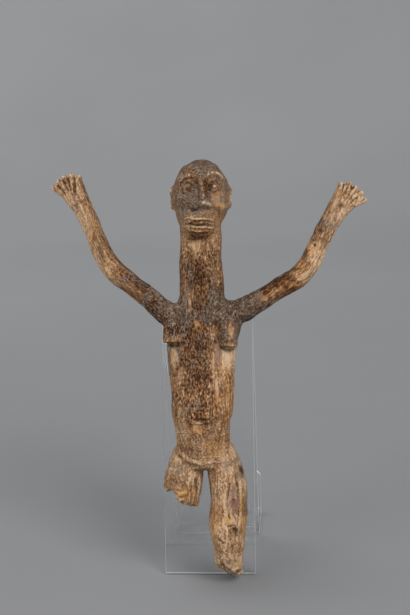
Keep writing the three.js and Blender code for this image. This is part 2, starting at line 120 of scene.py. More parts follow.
# Lines cut into the wood or standing proud of it: half width, height, and the (across, up)
# places that each passes through. A height below zero is a groove.
FACE_LINES = [
    (0.9, 1.0, [(-16.0, 281.4), (-13.6, 285.2), (-10.4, 288.0), (-6.6, 289.2), (-1.8, 287.6)]),
    (0.9, 1.0, [(3.4, 286.6), (6.8, 289.8), (10.8, 290.8), (14.0, 289.0), (16.2, 285.4)]),
    (0.5, -0.6, [(-14.4, 281.6), (-11.8, 285.0), (-8.2, 286.7), (-4.4, 286.2), (-1.6, 283.6)]),
    (0.5, -0.5, [(4.4, 284.2), (7.4, 287.4), (11.0, 288.2), (14.2, 285.2)]),
    (0.5, 0.6, [(-13.4, 280.8), (-11.0, 283.8), (-7.8, 285.0), (-4.6, 283.8), (-2.8, 281.4)]),
    (0.5, 0.5, [(7.0, 284.6), (9.4, 286.0), (12.0, 285.6), (14.4, 282.8)]),
    (0.4, -0.6, [(-12.4, 280.2), (-10.2, 282.6), (-7.6, 283.4), (-4.6, 281.4)]),
    (0.4, 0.5, [(-12.0, 279.4), (-9.8, 281.6), (-7.8, 282.2), (-5.4, 281.0)]),
    (0.4, 0.4, [(-12.0, 278.6), (-9.0, 277.2), (-5.6, 278.2)]),
    (0.4, 0.4, [(8.6, 278.4), (10.6, 278.4), (13.2, 279.9)]),
    (0.4, -0.5, [(-13.0, 277.4), (-8.8, 275.6), (-4.6, 276.8)]),
    (0.4, -0.5, [(6.6, 277.4), (9.4, 276.4), (13.2, 278.0)]),
    (1.3, 0.7, [(0.4, 288.0), (1.4, 282.4), (2.6, 276.2), (3.6, 270.4)]),
    (0.6, -0.6, [(-1.4, 284.0), (-0.8, 278.6), (-0.2, 273.6), (-0.8, 269.6)]),
    (0.8, -0.7, [(4.0, 284.0), (4.8, 277.4), (6.2, 272.6), (8.2, 268.8)]),
    (1.0, 0.8, [(1.8, 269.0), (4.0, 270.0), (6.6, 268.8), (7.2, 266.9)]),
    (0.7, -1.1, [(-6.8, 266.2), (-3.6, 264.8), (-0.6, 265.6)]),
    (0.5, -0.6, [(-1.4, 267.8), (0.4, 266.4), (3.4, 265.4), (7.2, 265.4)]),
    (0.5, 0.4, [(-8.4, 263.6), (-3.6, 264.0), (1.4, 262.9), (6.0, 262.6)]),
    (0.4, -0.4, [(-9.4, 262.0), (-4.4, 262.4), (0.6, 261.5), (6.6, 261.0)]),
    (0.4, -0.4, [(-9.8, 260.7), (-5.4, 261.0), (-1.4, 260.3), (3.6, 260.5), (8.6, 259.3)]),
    (0.45, 0.8, [(-12.4, 257.9), (-8.6, 259.8), (-5.6, 258.6), (-1.6, 258.9), (4.4, 258.9), (11.2, 256.6)]),
    (0.4, -0.8, [(-12.0, 257.3), (-7.8, 258.4), (-2.4, 257.2), (3.0, 257.6), (10.4, 255.7)]),
    (0.45, 0.6, [(-12.0, 256.2), (-7.2, 256.8), (-4.4, 255.6), (0.6, 256.2), (6.4, 255.7), (11.4, 254.6)]),
    (0.4, -0.9, [(-10.6, 255.0), (-6.4, 255.4), (-0.6, 254.4), (4.4, 254.9), (9.6, 253.5)]),
    (0.45, 0.7, [(-11.8, 253.8), (-7.6, 254.1), (-3.4, 253.0), (1.6, 253.3), (6.6, 252.4), (10.4, 252.8)]),
    (0.4, -0.7, [(-9.0, 252.3), (-6.2, 252.4), (-1.2, 251.6), (3.6, 251.7), (7.8, 251.3)]),
    (0.45, 0.5, [(-9.2, 250.8), (-5.0, 250.9), (-1.8, 249.9), (2.8, 250.5), (7.2, 250.3)]),
    (0.4, -0.6, [(-8.0, 249.3), (-4.0, 249.1), (0.8, 248.4), (5.6, 249.2)]),
    (0.6, -0.5, [(-7.0, 246.8), (-1.6, 245.4), (4.0, 246.8)]),
    (0.5, -0.5, [(-11.0, 291.0), (-6.5, 294.0), (-1.4, 293.4)]),
    (0.5, 0.5, [(-10.4, 292.6), (-5.5, 295.6), (0.2, 294.8)]),
    (0.5, -0.4, [(5.8, 295.6), (10.2, 294.6), (13.4, 291.0)]),
    (0.5, -0.6, [(-13.4, 272.0), (-12.8, 266.0), (-13.0, 259.0)]),
    (0.5, -0.5, [(12.8, 269.0), (12.4, 263.0), (11.8, 256.0)]),
    (0.5, 0.5, [(14.4, 272.0), (13.8, 264.0), (12.8, 257.0)]),
    (0.4, -0.4, [(-10.8, 274.0), (-7.4, 272.6), (-4.4, 273.4)]),
    (0.4, -0.4, [(-11.4, 271.4), (-8.0, 269.8), (-4.8, 270.4)]),
]
EAR_LINES = [
    (0.8, 0.4, [(-19.6, 281.4), (-22.6, 279.0), (-21.6, 273.6), (-22.4, 268.4), (-20.0, 266.0)]),
    (0.8, 0.4, [(18.6, 281.4), (20.6, 279.0), (20.2, 273.6), (21.0, 268.0), (18.4, 265.6)]),
    (0.7, -0.9, [(-17.4, 280.6), (-17.6, 274.0), (-17.6, 268.4)]),
    (0.7, -0.9, [(17.2, 280.4), (17.7, 273.6), (17.4, 267.8)]),
]
BODY_LINES = [
    (1.0, -1.1, [(-29.0, 171.4), (-24.0, 169.9), (-18.6, 169.9), (-11.0, 172.4)]),
    (1.0, -1.1, [(11.2, 170.4), (15.0, 166.9), (19.8, 166.2), (25.0, 168.6)]),
    (0.6, -1.3, [(-8.4, 120.2), (-3.5, 119.7), (0.7, 119.6), (5.6, 119.4)]),
    (0.5, 0.6, [(-9.0, 117.4), (-4.0, 117.0), (1.4, 117.2)]),
    (0.5, 0.5, [(-8.0, 126.4), (-2.2, 126.9), (4.4, 126.4)]),
    (0.5, -0.8, [(-8.4, 128.3), (-2.2, 128.8), (4.8, 128.2)]),
    (0.4, -0.6, [(-9.4, 118.6), (-9.6, 112.0), (-9.4, 105.8)]),
    (0.35, -0.4, [(1.6, 118.8), (1.3, 112.0), (1.1, 106.4)]),
    (0.4, -0.9, [(14.2, 161.2), (17.2, 152.3), (18.6, 142.2), (18.4, 132.0), (17.4, 121.0)]),
    (0.4, -0.8, [(10.3, 132.4), (12.4, 123.5), (12.2, 112.5), (10.4, 102.6)]),
    (0.4, -0.5, [(4.6, 168.0), (5.2, 154.0), (6.6, 139.0), (5.8, 128.0)]),
    (0.4, -0.5, [(-12.6, 160.0), (-13.2, 146.0), (-12.2, 130.0), (-12.8, 117.0)]),
    (1.2, 0.7, [(-18.4, 96.0), (-12.6, 91.4), (-7.0, 88.8), (-1.0, 87.6), (5.6, 88.4)]),
    (1.0, -1.0, [(-20.4, 93.6), (-14.2, 88.7), (-9.3, 86.2), (-3.6, 85.2)]),
    (0.8, -0.5, [(3.6, 86.2), (8.5, 86.4), (14.0, 87.2)]),
]
LEG_LINES = [
    (0.8, -2.2, [(23.2, 84.6), (24.9, 80.6), (25.9, 75.6)]),
    (0.5, -1.3, [(25.4, 76.6), (26.0, 69.0), (25.9, 59.0), (25.2, 48.0)]),
    (1.0, 1.1, [(23.6, 80.0), (24.8, 72.0), (25.0, 62.0), (24.4, 50.0), (23.0, 40.0)]),
    (0.6, -1.4, [(21.2, 79.0), (22.6, 71.1), (23.2, 62.6), (22.8, 51.0), (21.6, 42.6)]),
    (2.6, -1.3, [(19.8, 72.0), (19.9, 63.0), (19.2, 52.0)]),
    (0.8, -1.4, [(17.6, 75.0), (16.4, 68.0), (15.6, 61.3), (15.4, 55.6)]),
    (0.9, 0.7, [(15.6, 76.0), (14.2, 68.0), (13.2, 60.0), (13.0, 52.0)]),
    (1.1, 1.4, [(13.9, 52.0), (14.3, 48.4), (15.9, 44.6), (17.4, 44.2)]),
    (0.7, 1.0, [(17.4, 44.2), (18.4, 46.0), (18.0, 48.4)]),
    (0.5, -1.3, [(16.2, 51.0), (16.0, 48.8), (16.8, 46.6)]),
    (0.6, 0.8, [(19.6, 51.4), (20.4, 49.6), (19.8, 48.0)]),
    (0.5, 0.8, [(21.8, 48.4), (21.4, 46.4), (22.2, 45.0)]),
    (0.5, -0.9, [(18.6, 52.4), (19.0, 49.4), (20.8, 46.8), (20.4, 44.4)]),
    (0.5, -0.7, [(14.0, 42.6), (17.0, 41.6), (19.4, 42.4)]),
    (1.3, -1.9, [(18.6, 40.4), (20.4, 38.4), (20.6, 35.4)]),
    (0.6, -1.2, [(8.6, 32.2), (10.9, 30.6), (13.2, 28.8)]),
    (0.5, -0.7, [(9.0, 26.0), (12.6, 21.0), (17.4, 14.6)]),
    (0.5, -0.7, [(17.6, 26.0), (19.6, 18.0), (20.8, 12.4)]),
    (0.6, -0.8, [(12.0, 18.0), (15.0, 15.0), (16.4, 11.0)]),
    (0.7, -1.6, [(-7.2, 76.4), (-7.0, 71.4), (-6.6, 65.8)]),
    (0.7, 0.6, [(-5.4, 77.0), (-5.0, 70.0), (-5.2, 64.0)]),
    (0.5, -0.9, [(-22.0, 68.6), (-18.0, 67.6), (-14.4, 69.0)]),
    (0.6, 0.6, [(-21.0, 66.6), (-17.0, 65.6), (-13.0, 66.8)]),
    (0.5, -0.9, [(-20.0, 63.6), (-16.0, 63.0), (-12.0, 64.6)]),
    (0.5, -0.9, [(-13.4, 71.8), (-12.4, 66.4), (-13.6, 60.6)]),
    (0.4, -0.8, [(-10.4, 68.6), (-9.8, 62.0), (-11.0, 57.6)]),
]
FINGER_LINES = [
    (0.6, -1.2, [(-104.6, 286.0), (-100.0, 281.7), (-96.4, 277.0)]),
    (0.6, -1.2, [(-100.4, 289.6), (-96.9, 285.2), (-93.6, 278.6)]),
    (0.6, -1.2, [(-96.0, 291.4), (-93.9, 285.8), (-92.1, 279.6)]),
    (0.9, -1.9, [(-90.2, 290.6), (-89.8, 283.6), (-89.5, 275.4)]),
    (0.6, -1.3, [(99.4, 282.6), (98.3, 278.7), (97.0, 274.4)]),
    (0.5, -1.1, [(103.4, 282.2), (100.7, 277.3), (98.2, 271.6)]),
    (0.5, -1.1, [(106.0, 280.4), (102.7, 275.1), (99.4, 269.4)]),
    (0.5, -1.1, [(108.6, 278.0), (104.8, 273.0), (101.0, 268.8)]),
    (0.5, -1.1, [(112.0, 275.4), (106.9, 270.9), (102.2, 267.4)]),
]
BACK_LINES = [
    (2.4, -1.0, [(-1.0, 196.0), (-1.2, 160.0), (-1.4, 128.0), (-0.8, 104.0)]),
    (1.3, -1.6, [(-0.6, 98.0), (-0.3, 88.0), (0.0, 78.0)]),
    (0.7, -0.8, [(-22.0, 72.0), (-13.0, 69.0), (-4.0, 73.0)]),
    (0.7, -0.8, [(3.0, 74.0), (11.0, 70.0), (21.0, 73.0)]),
    (0.7, -0.6, [(-19.0, 196.0), (-9.0, 186.0), (-8.0, 172.0)]),
    (0.7, -0.6, [(18.0, 196.0), (7.0, 186.0), (6.0, 172.0)]),
    (0.5, -0.5, [(9.0, 160.0), (10.0, 140.0), (8.6, 118.0)]),
]

# Round holes and lumps on the front: (across, up), radius and height.
FRONT_SPOTS = [
    (-8.4, 280.3, 2.0, 0.5),
    (9.8, 280.8, 2.0, 0.5),
    (-8.0, 279.4, 1.3, -1.6),
    (7.4, 281.4, 1.6, -1.6),
    (7.0, 279.4, 1.2, -1.0),
    (10.0, 281.2, 0.8, 0.6),
    (-2.6, 267.4, 1.4, 0.4),
    (6.4, 268.0, 1.3, 0.4),
    (-5.2, 264.6, 1.4, -0.9),
    (18.2, 177.0, 0.8, -1.0),
    (78.5, 239.4, 0.8, -1.6),
    (77.1, 242.9, 0.7, -1.4),
    (74.5, 226.2, 0.7, -1.4),
    (97.1, 266.9, 2.4, -0.5),
    (-70.4, 226.6, 1.0, -0.9),
    (-52.0, 213.0, 1.1, -0.7),
]

# What covers the figure, as (across, up) places with how pale the wood is and how much of the old
# crust is left on it there, from 0 to about 1.2. Between the places, both change smoothly. The
# places are the middles of boxes set on the photograph. The levels aren't set by hand: a scratch program
# fitted them to the photograph's mean colours in those boxes. report.md names this as a rule broken.
# Being fitted to colours as they were lit, some levels hold painted light and shade: the pale level under
# the nose, at (-1.4, 263.6), is painted light that makes up for the shade there.
WOOD_ZONES = [
    (1.6, 296.9, 0.11, 0.82),
    (-6.4, 291.3, 0.40, 0.13),
    (8.0, 292.1, 0.68, 0.69),
    (-14.5, 284.0, 0.48, 0.42),
    (16.2, 283.5, 0.64, 0.64),
    (0.9, 285.4, 0.27, 0.50),
    (-7.8, 271.9, 0.45, 0.83),
    (11.7, 271.6, 0.84, 0.30),
    (-8.9, 283.0, 0.47, 0.38),
    (10.4, 282.7, 0.42, 0.29),
    (-20.5, 274.0, 0.75, 0.51),
    (18.9, 273.3, 0.87, 0.61),
    (2.6, 276.8, 0.30, 0.87),
    (-1.4, 263.6, 1.03, 0.93),
    (-1.6, 256.3, 0.45, 0.00),
    (-11.6, 258.9, 0.68, 0.44),
    (10.5, 258.6, 0.64, 0.31),
    (-0.7, 249.4, 0.61, 0.00),
    (-3.4, 239.7, 0.60, 0.10),
    (-10.2, 223.4, 0.36, 0.37),
    (-0.6, 221.6, 0.19, 0.01),
    (9.3, 221.3, 0.60, 0.24),
    (-10.5, 206.6, 0.59, 0.34),
    (-0.5, 205.1, 0.34, 0.61),
    (-23.6, 195.9, 0.08, 0.54),
    (-14.0, 191.9, 0.14, 0.81),
    (-3.0, 190.4, 0.44, 0.62),
    (8.5, 192.7, 0.28, 0.83),
    (19.9, 196.5, 0.10, 1.00),
    (-20.0, 180.7, 0.13, 0.40),
    (-19.3, 174.1, 0.72, 0.23),
    (-5.6, 176.1, 0.26, 0.40),
    (8.4, 179.1, 0.53, 0.15),
    (19.2, 179.9, 0.46, 0.82),
    (-36.7, 202.4, 0.22, 0.47),
    (-48.4, 213.1, 0.38, 0.25),
    (-60.3, 221.0, 0.56, 0.33),
    (32.5, 202.2, 0.12, 1.00),
    (43.5, 207.7, 0.37, 0.22),
    (56.2, 213.1, 0.17, 0.00),
    (-67.6, 229.3, 0.74, 0.00),
    (-74.0, 242.4, 0.67, 0.05),
    (-78.1, 255.9, 0.83, 0.26),
    (-83.5, 268.7, 0.75, 0.11),
    (-89.0, 277.3, 0.82, 0.25),
    (-96.1, 283.0, 0.67, 0.00),
    (67.5, 223.5, 0.75, 0.00),
    (73.9, 235.3, 0.90, 0.00),
    (80.6, 247.0, 0.63, 0.21),
    (86.7, 259.5, 0.81, 0.44),
    (92.3, 267.0, 0.79, 0.33),
    (102.1, 274.8, 0.76, 0.01),
    (-20.2, 163.0, 0.65, 0.67),
    (17.4, 162.5, 1.17, 0.00),
    (-19.4, 149.1, 0.60, 0.26),
    (-17.2, 131.3, 0.57, 0.24),
    (-11.4, 159.8, 0.20, 0.22),
    (-9.8, 136.5, 0.50, 0.00),
    (-2.5, 163.9, 0.27, 0.28),
    (-1.0, 148.2, 0.23, 0.00),
    (-1.0, 135.2, 0.33, 0.08),
    (8.3, 162.4, 0.54, 0.23),
    (9.3, 146.6, 0.63, 0.23),
    (9.3, 132.2, 0.56, 0.17),
    (18.0, 147.3, 0.69, 0.00),
    (16.6, 130.8, 0.75, 0.00),
    (-2.8, 130.4, 0.61, 0.66),
    (-1.7, 123.7, 0.18, 0.00),
    (-4.2, 111.8, 0.49, 0.00),
    (-15.3, 111.7, 0.79, 0.26),
    (6.8, 106.5, 0.61, 0.38),
    (15.1, 109.1, 0.67, 0.00),
    (-10.1, 96.0, 0.59, 0.27),
    (2.0, 96.9, 0.80, 0.12),
    (12.8, 92.5, 0.85, 0.24),
    (-19.1, 83.3, 0.84, 0.42),
    (-21.5, 74.3, 0.63, 0.19),
    (-8.4, 79.5, 0.84, 0.00),
    (-17.4, 65.4, 0.67, 0.28),
    (-9.5, 64.9, 0.79, 0.00),
    (21.6, 84.7, 0.86, 0.43),
    (11.9, 75.6, 0.80, 0.00),
    (9.2, 50.1, 0.67, 0.24),
    (19.1, 58.1, 0.95, 0.06),
    (15.7, 46.2, 1.10, 0.00),
    (25.0, 55.0, 0.54, 0.35),
    (18.1, 38.3, 0.70, 0.00),
    (12.5, 22.8, 0.81, 0.00),
    (20.6, 24.4, 0.79, 0.00),
    (10.9, 12.1, 0.81, 0.31),
    (19.5, 10.5, 1.20, 0.42),
]

# Spots of their own colour on the front: (across, up), half width and half height. Some of them are painted
# light and shade, in whole or in part, as marked at each.
PALE_SPOTS = [
    (-3.6, 240.0, 4.6, 5.6),
    (42.0, 202.5, 3.4, 2.4),
    (48.5, 205.5, 3.4, 2.4),
    (55.0, 208.5, 3.4, 2.4),
    (61.0, 212.5, 3.2, 2.8),
    (-9.0, 199.0, 1.2, 7.0),
    (-20.8, 162.6, 3.4, 8.0),
    (17.6, 161.4, 4.6, 7.4),
    (7.4, 158.0, 1.2, 9.0),
    (9.6, 138.0, 1.4, 12.0),
    # Painted highlight: the lit front of the left breast.
    (19.6, 180.0, 2.4, 7.0),
    (-4.0, 113.4, 5.6, 5.4),
    (-4.4, 186.0, 2.0, 3.0),
    (-51.9, 213.0, 3.4, 1.8),
    (-71.4, 235.2, 1.2, 0.9),
    # Painted highlight: the glint on the left eye.
    (10.2, 281.2, 1.0, 0.9),
    # Painted highlight: the lit wing of the nose on its left side.
    (4.6, 269.0, 2.0, 0.9),
]
DARK_SPOTS = [
    (-8.0, 279.4, 1.9, 1.6),
    (7.0, 281.0, 1.8, 3.2),
    # Partly dirt and partly painted shade: the shaded right side of the nose's bridge.
    (-5.0, 281.8, 2.6, 1.4),
    (-2.8, 283.4, 2.4, 3.0),
    # Partly dirt and partly painted shadow: under the nose.
    (-0.8, 267.4, 1.6, 2.6),
    (-5.2, 265.6, 2.0, 1.5),
    (-4.0, 247.6, 5.0, 1.6),
    (-8.0, 213.4, 3.6, 4.6),
    (0.6, 218.0, 3.0, 4.0),
    (2.0, 189.0, 6.0, 4.0),
    (10.4, 184.6, 4.6, 3.0),
    (14.0, 176.0, 2.0, 7.0),
    (-14.4, 190.0, 3.4, 5.0),
    (-1.6, 170.0, 3.0, 6.0),
    (1.4, 153.0, 2.4, 9.0),
    (-88.6, 268.6, 2.4, 5.0),
    (-77.0, 248.0, 1.4, 6.0),
    (-73.4, 238.4, 2.6, 2.6),
    (96.4, 266.6, 1.4, 2.4),
    (78.2, 239.6, 0.8, 0.8),
    (74.2, 226.8, 0.8, 1.2),
    (50.0, 212.0, 3.0, 2.2),
    (42.0, 211.6, 4.0, 2.0),
    (48.6, 215.0, 4.0, 1.8),
    (60.0, 222.6, 9.0, 1.8),
    (72.0, 233.0, 2.6, 7.0),
    (83.0, 254.0, 1.6, 9.0),
    (-44.0, 212.0, 9.0, 2.0),
    (-72.0, 236.0, 1.6, 9.0),
    (20.6, 39.2, 1.8, 4.0),
    # Painted shadow: between the thighs.
    (-1.0, 84.4, 4.4, 2.4),
    (-7.0, 71.6, 1.2, 5.0),
    (24.8, 80.2, 1.2, 4.6),
    (-14.0, 57.4, 9.0, 2.4),
    # Painted shadow: the gap along the inner side of the leg.
    (1.6, 68.0, 1.8, 17.0),
    # Painted shadow: under the chin.
    (-1.2, 244.0, 7.0, 2.0),
]
RUSTY_SPOTS = [
    (44.0, 209.0, 5.0, 5.0),
    (57.0, 213.0, 9.0, 5.0),
    (-4.0, 112.0, 6.0, 6.0),
    (9.0, 50.0, 3.0, 12.0),
    (9.3, 131.0, 4.0, 8.0),
    (68.0, 226.0, 6.0, 8.0),
    (75.0, 236.0, 3.0, 6.0),
    (-78.0, 252.0, 3.4, 9.0),
    (-60.0, 221.0, 6.0, 3.0),
    (16.8, 134.0, 3.6, 22.0),
    (25.6, 52.0, 1.6, 18.0),
    (5.0, 40.0, 3.0, 20.0),
    (8.0, 100.0, 9.0, 9.0),
    (-16.0, 66.0, 8.0, 6.0),
    (14.6, 268.0, 3.0, 12.0),
    (10.0, 277.0, 3.0, 2.0),
    (15.7, 46.2, 3.4, 5.0),
    (-9.5, 65.6, 3.4, 6.0),
    (0.0, 206.0, 5.0, 7.0),
    (-1.7, 123.6, 6.4, 2.6),
    (-2.0, 180.0, 5.0, 8.0),
    (12.0, 262.0, 4.0, 9.0),
    (-0.6, 249.0, 8.0, 3.0),
    (-16.0, 174.0, 8.0, 3.0),
]
PITTED_SPOTS = [(-18.5, 79.0, 8.5, 9.5)]
ROSY_SPOTS = [(19.8, 61.0, 3.4, 11.0), (10.6, 164.0, 2.0, 8.0)]
YELLOW_SPOTS = [
    (15.6, 47.0, 2.6, 5.0),
    (-17.6, 67.0, 4.6, 4.4),
    (19.4, 13.0, 5.0, 3.0),
    (25.6, 52.0, 1.2, 16.0),
]

# How the grain's length runs along the body: (up, distance along the grain). It runs freely on the
# trunk and is crossed by the carving on the legs, the pelvis and most of all the head.
GRAIN_HEIGHTS = [(0, -120), (84, 0), (120, 90), (244, 214), (304, 330)]

# The wood from its darkest to its palest, the same where it is warmer, and the crust. Each row is
# a share of the way and the colour as it looks there.
WOOD_TONES = [
    (0.0, (52, 28, 13)),
    (0.18, (84, 53, 31)),
    (0.38, (112, 79, 53)),
    (0.58, (142, 106, 74)),
    (0.78, (174, 136, 101)),
    (1.0, (224, 190, 156)),
]
WARM_TONES = [
    (0.0, (54, 28, 12)),
    (0.18, (88, 53, 28)),
    (0.38, (122, 80, 46)),
    (0.58, (156, 110, 68)),
    (0.78, (188, 140, 94)),
    (1.0, (220, 176, 128)),
]
CRUST_TONES = [
    (0.0, (58, 42, 31)),
    (0.3, (88, 69, 56)),
    (0.6, (116, 97, 83)),
    (1.0, (162, 144, 127)),
]


def gradient_noise(place, seed):
    """Smooth noise from about -1 to 1, with one lump to a unit."""
    draws = np.random.default_rng(seed)
    gradients = draws.normal(size=(256, 3))
    gradients /= np.linalg.norm(gradients, axis=1)[:, None]
    order = draws.permutation(256)
    cell = np.floor(place).astype(np.int64)
    part = place - cell
    ease = part * part * part * (part * (part * 6 - 15) + 10)
    total = np.zeros(len(place))
    for corner in itertools.product((0, 1), repeat=3):
        key = (cell + corner) & 255
        pick = order[(order[(order[key[:, 0]] + key[:, 1]) & 255] + key[:, 2]) & 255]
        weight = np.prod(np.where(corner, ease, 1 - ease), axis=1)
        total += weight * np.einsum("ij,ij->i", gradients[pick], part - corner)
    return total * 1.6


def layered_noise(place, seed, layers):
    """Smooth noise with finer noise laid over it, each layer half the size of the one before."""
    total = np.zeros(len(place))
    for layer in range(layers):
        total += gradient_noise(place * 2**layer, seed + layer) / 2**layer
    return total


def smoothstep(low, high, value):
    """0 where value is at low, 1 where it is at high, and a soft rise between them."""
    t = np.clip((value - low) / (high - low), 0, 1)
    return t * t * (3 - 2 * t)


def smooth_line(places, steps=8):
    """Points along a curve that passes through every place."""
    known = np.array(places, float)
    padded = np.vstack([2 * known[0] - known[1], known, 2 * known[-1] - known[-2]])
    points = []
    for i in range(len(known) - 1):
        a, b, c, d = padded[i : i + 4]
        for t in np.arange(steps) / steps:
            points.append(
                0.5 * (2 * b + (c - a) * t + (2 * a - 5 * b + 4 * c - d) * t**2
                       + (3 * b - a - 3 * c + d) * t**3)
            )
    return np.array(points + [known[-1]])


def line_profile(place, half_width, places):
    """About 1 on a drawn line, falling to 0 beside it, thinner to its ends and worn in places."""
    line = smooth_line(places)
    reach = 3 * half_width
    low, high = line.min(0) - reach, line.max(0) + reach
    near = np.flatnonzero(
        (place[:, 0] > low[0]) & (place[:, 0] < high[0])
        & (place[:, 1] > low[1]) & (place[:, 1] < high[1])
    )
    profile = np.zeros(len(place))
    if not len(near):
        return profile
    spots = place[near, :2]
    best = np.full(len(near), 1e9)
    along = np.zeros(len(near))
    for i in range(len(line) - 1):
        start, step = line[i], line[i + 1] - line[i]
        t = np.clip((spots - start) @ step / (step @ step), 0, 1)
        away = np.linalg.norm(spots - start - t[:, None] * step, axis=1)
        closer = away < best
        best[closer] = away[closer]
        along[closer] = (i + t[closer]) / (len(line) - 1)
    thinning = np.sqrt(np.sin(np.pi * np.clip(along, 0.03, 0.97)))
    wear = np.clip(0.82 + 0.55 * gradient_noise(place[near] / LINE_WEAR, 91), 0.25, 1.15)
    profile[near] = np.exp(-((best / half_width) ** 2)) * thinning * wear
    return profile


def frayed_edges(place):
    """How far a patch's edge moves in or out at each point, as a share of its size."""
    return 0.35 * layered_noise(place / FRAY_SIZE, 51, 2)


def patch_cover(place, patches, fray):
    """1 inside any of the patches, with edges that the fray moves in and out."""
    cover = np.zeros(len(place))
    for across, up, half_width, half_height in patches:
        far = np.hypot((place[:, 0] - across) / half_width, (place[:, 1] - up) / half_height)
        cover = np.maximum(cover, 1 - smoothstep(0.55, 1.25, far + fray))
    return cover


def zone_levels(place):
    """How pale the wood is and how much crust it keeps, mostly from the nearest zones' levels."""
    levels = np.zeros((len(place), 2))
    weights = np.zeros(len(place))
    for across, up, *values in WOOD_ZONES:
        away = (place[:, 0] - across) ** 2 + (place[:, 1] - up) ** 2
        weight = 1 / (away + LEVEL_BLUR**2) ** 2
        weights += weight
        levels += weight[:, None] * values
    return levels / weights[:, None]


def neighbour_mean(values, edges, counts):
    """The mean of each vertex's neighbours along the mesh's edges."""
    total = np.zeros_like(values)
    for k in range(values.shape[1]):
        for a, b in ((0, 1), (1, 0)):
            total[:, k] += np.bincount(edges[:, a], values[edges[:, b], k], len(values))
    return total / counts[:, None]


def mesh_edges(mesh):
    """Every edge as its two vertices, and how many edges meet at each vertex."""
    edges = np.zeros(len(mesh.edges) * 2, np.int32)
    mesh.edges.foreach_get("vertices", edges)
    edges = edges.reshape(-1, 2)
    return edges, np.bincount(edges.ravel(), minlength=len(mesh.vertices)).astype(float)


def mesh_places(mesh):
    """Every vertex and its normal in the plate's leaning frame."""
    flat = np.zeros(len(mesh.vertices) * 3, np.float32)
    mesh.vertices.foreach_get("co", flat)
    place = (flat.reshape(-1, 3).astype(float) / METRES - PLATE_FOOT) @ AXES.T
    mesh.vertex_normals.foreach_get("vector", flat)
    return place, flat.reshape(-1, 3).astype(float) @ AXES.T


def set_places(mesh, place):
    """Moves every vertex to its place in the plate's leaning frame."""
    world = (place @ AXES + PLATE_FOOT) * METRES
    mesh.vertices.foreach_set("co", world.astype(np.float32).ravel())
    mesh.update()


def with_modifier(thing, kind, **settings):
    """Replaces the mesh of thing by what one modifier makes of it."""
    modifier = thing.modifiers.new(kind.lower(), kind)
    for name, value in settings.items():
        setattr(modifier, name, value)
    evaluated = thing.evaluated_get(bpy.context.evaluated_depsgraph_get())
    made = bpy.data.meshes.new_from_object(evaluated)
    thing.modifiers.clear()
    thing.data = made
    return made


def copy_of_node(node, name):
    """A new object with a copy of the mesh of one of the frame's nodes."""
    thing = bpy.data.objects.new(name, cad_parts[node].data.copy())
    bpy.context.scene.collection.objects.link(thing)
    return thing


def arm_share(place):
    """How far each point belongs to an arm, from 0 at the shoulder to 1 along it."""
    beyond = np.abs(place[:, 0]) - SHOULDER
    return smoothstep(0, 10, beyond)


def grain_place(place):
    """Places whose last number runs with the grain: up the body, and outwards along each arm."""
    side = np.sign(place[:, 0])
    across = np.abs(place[:, 0])
    # The upper arm climbs gently from the shoulder, and the forearm steeply from the elbow.
    bend = smoothstep(64, 84, across)[:, None]
    upper = np.array([math.cos(UPPER_ARM_CLIMB), math.sin(UPPER_ARM_CLIMB)])
    fore = np.array([math.cos(FOREARM_CLIMB), math.sin(FOREARM_CLIMB)])
    local = np.stack([across - ELBOW[0], place[:, 1] - ELBOW[1]], axis=1)
    direction = upper * (1 - bend) + fore * bend
    direction /= np.linalg.norm(direction, axis=1)[:, None]
    along = np.einsum("ij,ij->i", local, direction)
    beside = local[:, 0] * direction[:, 1] - local[:, 1] * direction[:, 0]
    arm = np.stack([beside, place[:, 2], along], axis=1) + side[:, None] * 300
    drawn_up = np.interp(place[:, 1], *zip(*GRAIN_HEIGHTS))
    body = np.stack([place[:, 0], place[:, 2], drawn_up], axis=1)
    share = arm_share(place)[:, None]
    return np.where(share > 0.5, arm, body)


def chest_share(place):
    """1 on the front of the chest and shoulders above the breasts' ledges, fading out around."""
    across, up, out = place.T
    ledge = np.where(across < 0, RIGHT_LEDGE, LEFT_LEDGE)
    height = smoothstep(0, 6, up - ledge) * (1 - smoothstep(206, 214, up))
    return height * (1 - smoothstep(27, 34, np.abs(across))) * smoothstep(12, 20, out)


def knee_share(place):
    """1 on the inner side of the leg where its width turns, fading out around."""
    across, up, _ = place.T
    inner = smoothstep(14, 9, across) * (across > 2)
    return 0.7 * inner * np.exp(-(((up - KNEE) / 8) ** 2))


def broken_share(place):
    """1 on the raw ends where the leg and the thigh are lost, fading into the sound wood."""
    across, up, _ = place.T
    leg = 1 - smoothstep(10, 20, up - 0.15 * (22 - across))
    stump_end = 68 - 0.62 * (across + 26)
    stump = 1 - smoothstep(0, 5, up - stump_end)
    return np.where(across < 0, stump * (up < 74), leg * (up < 40))


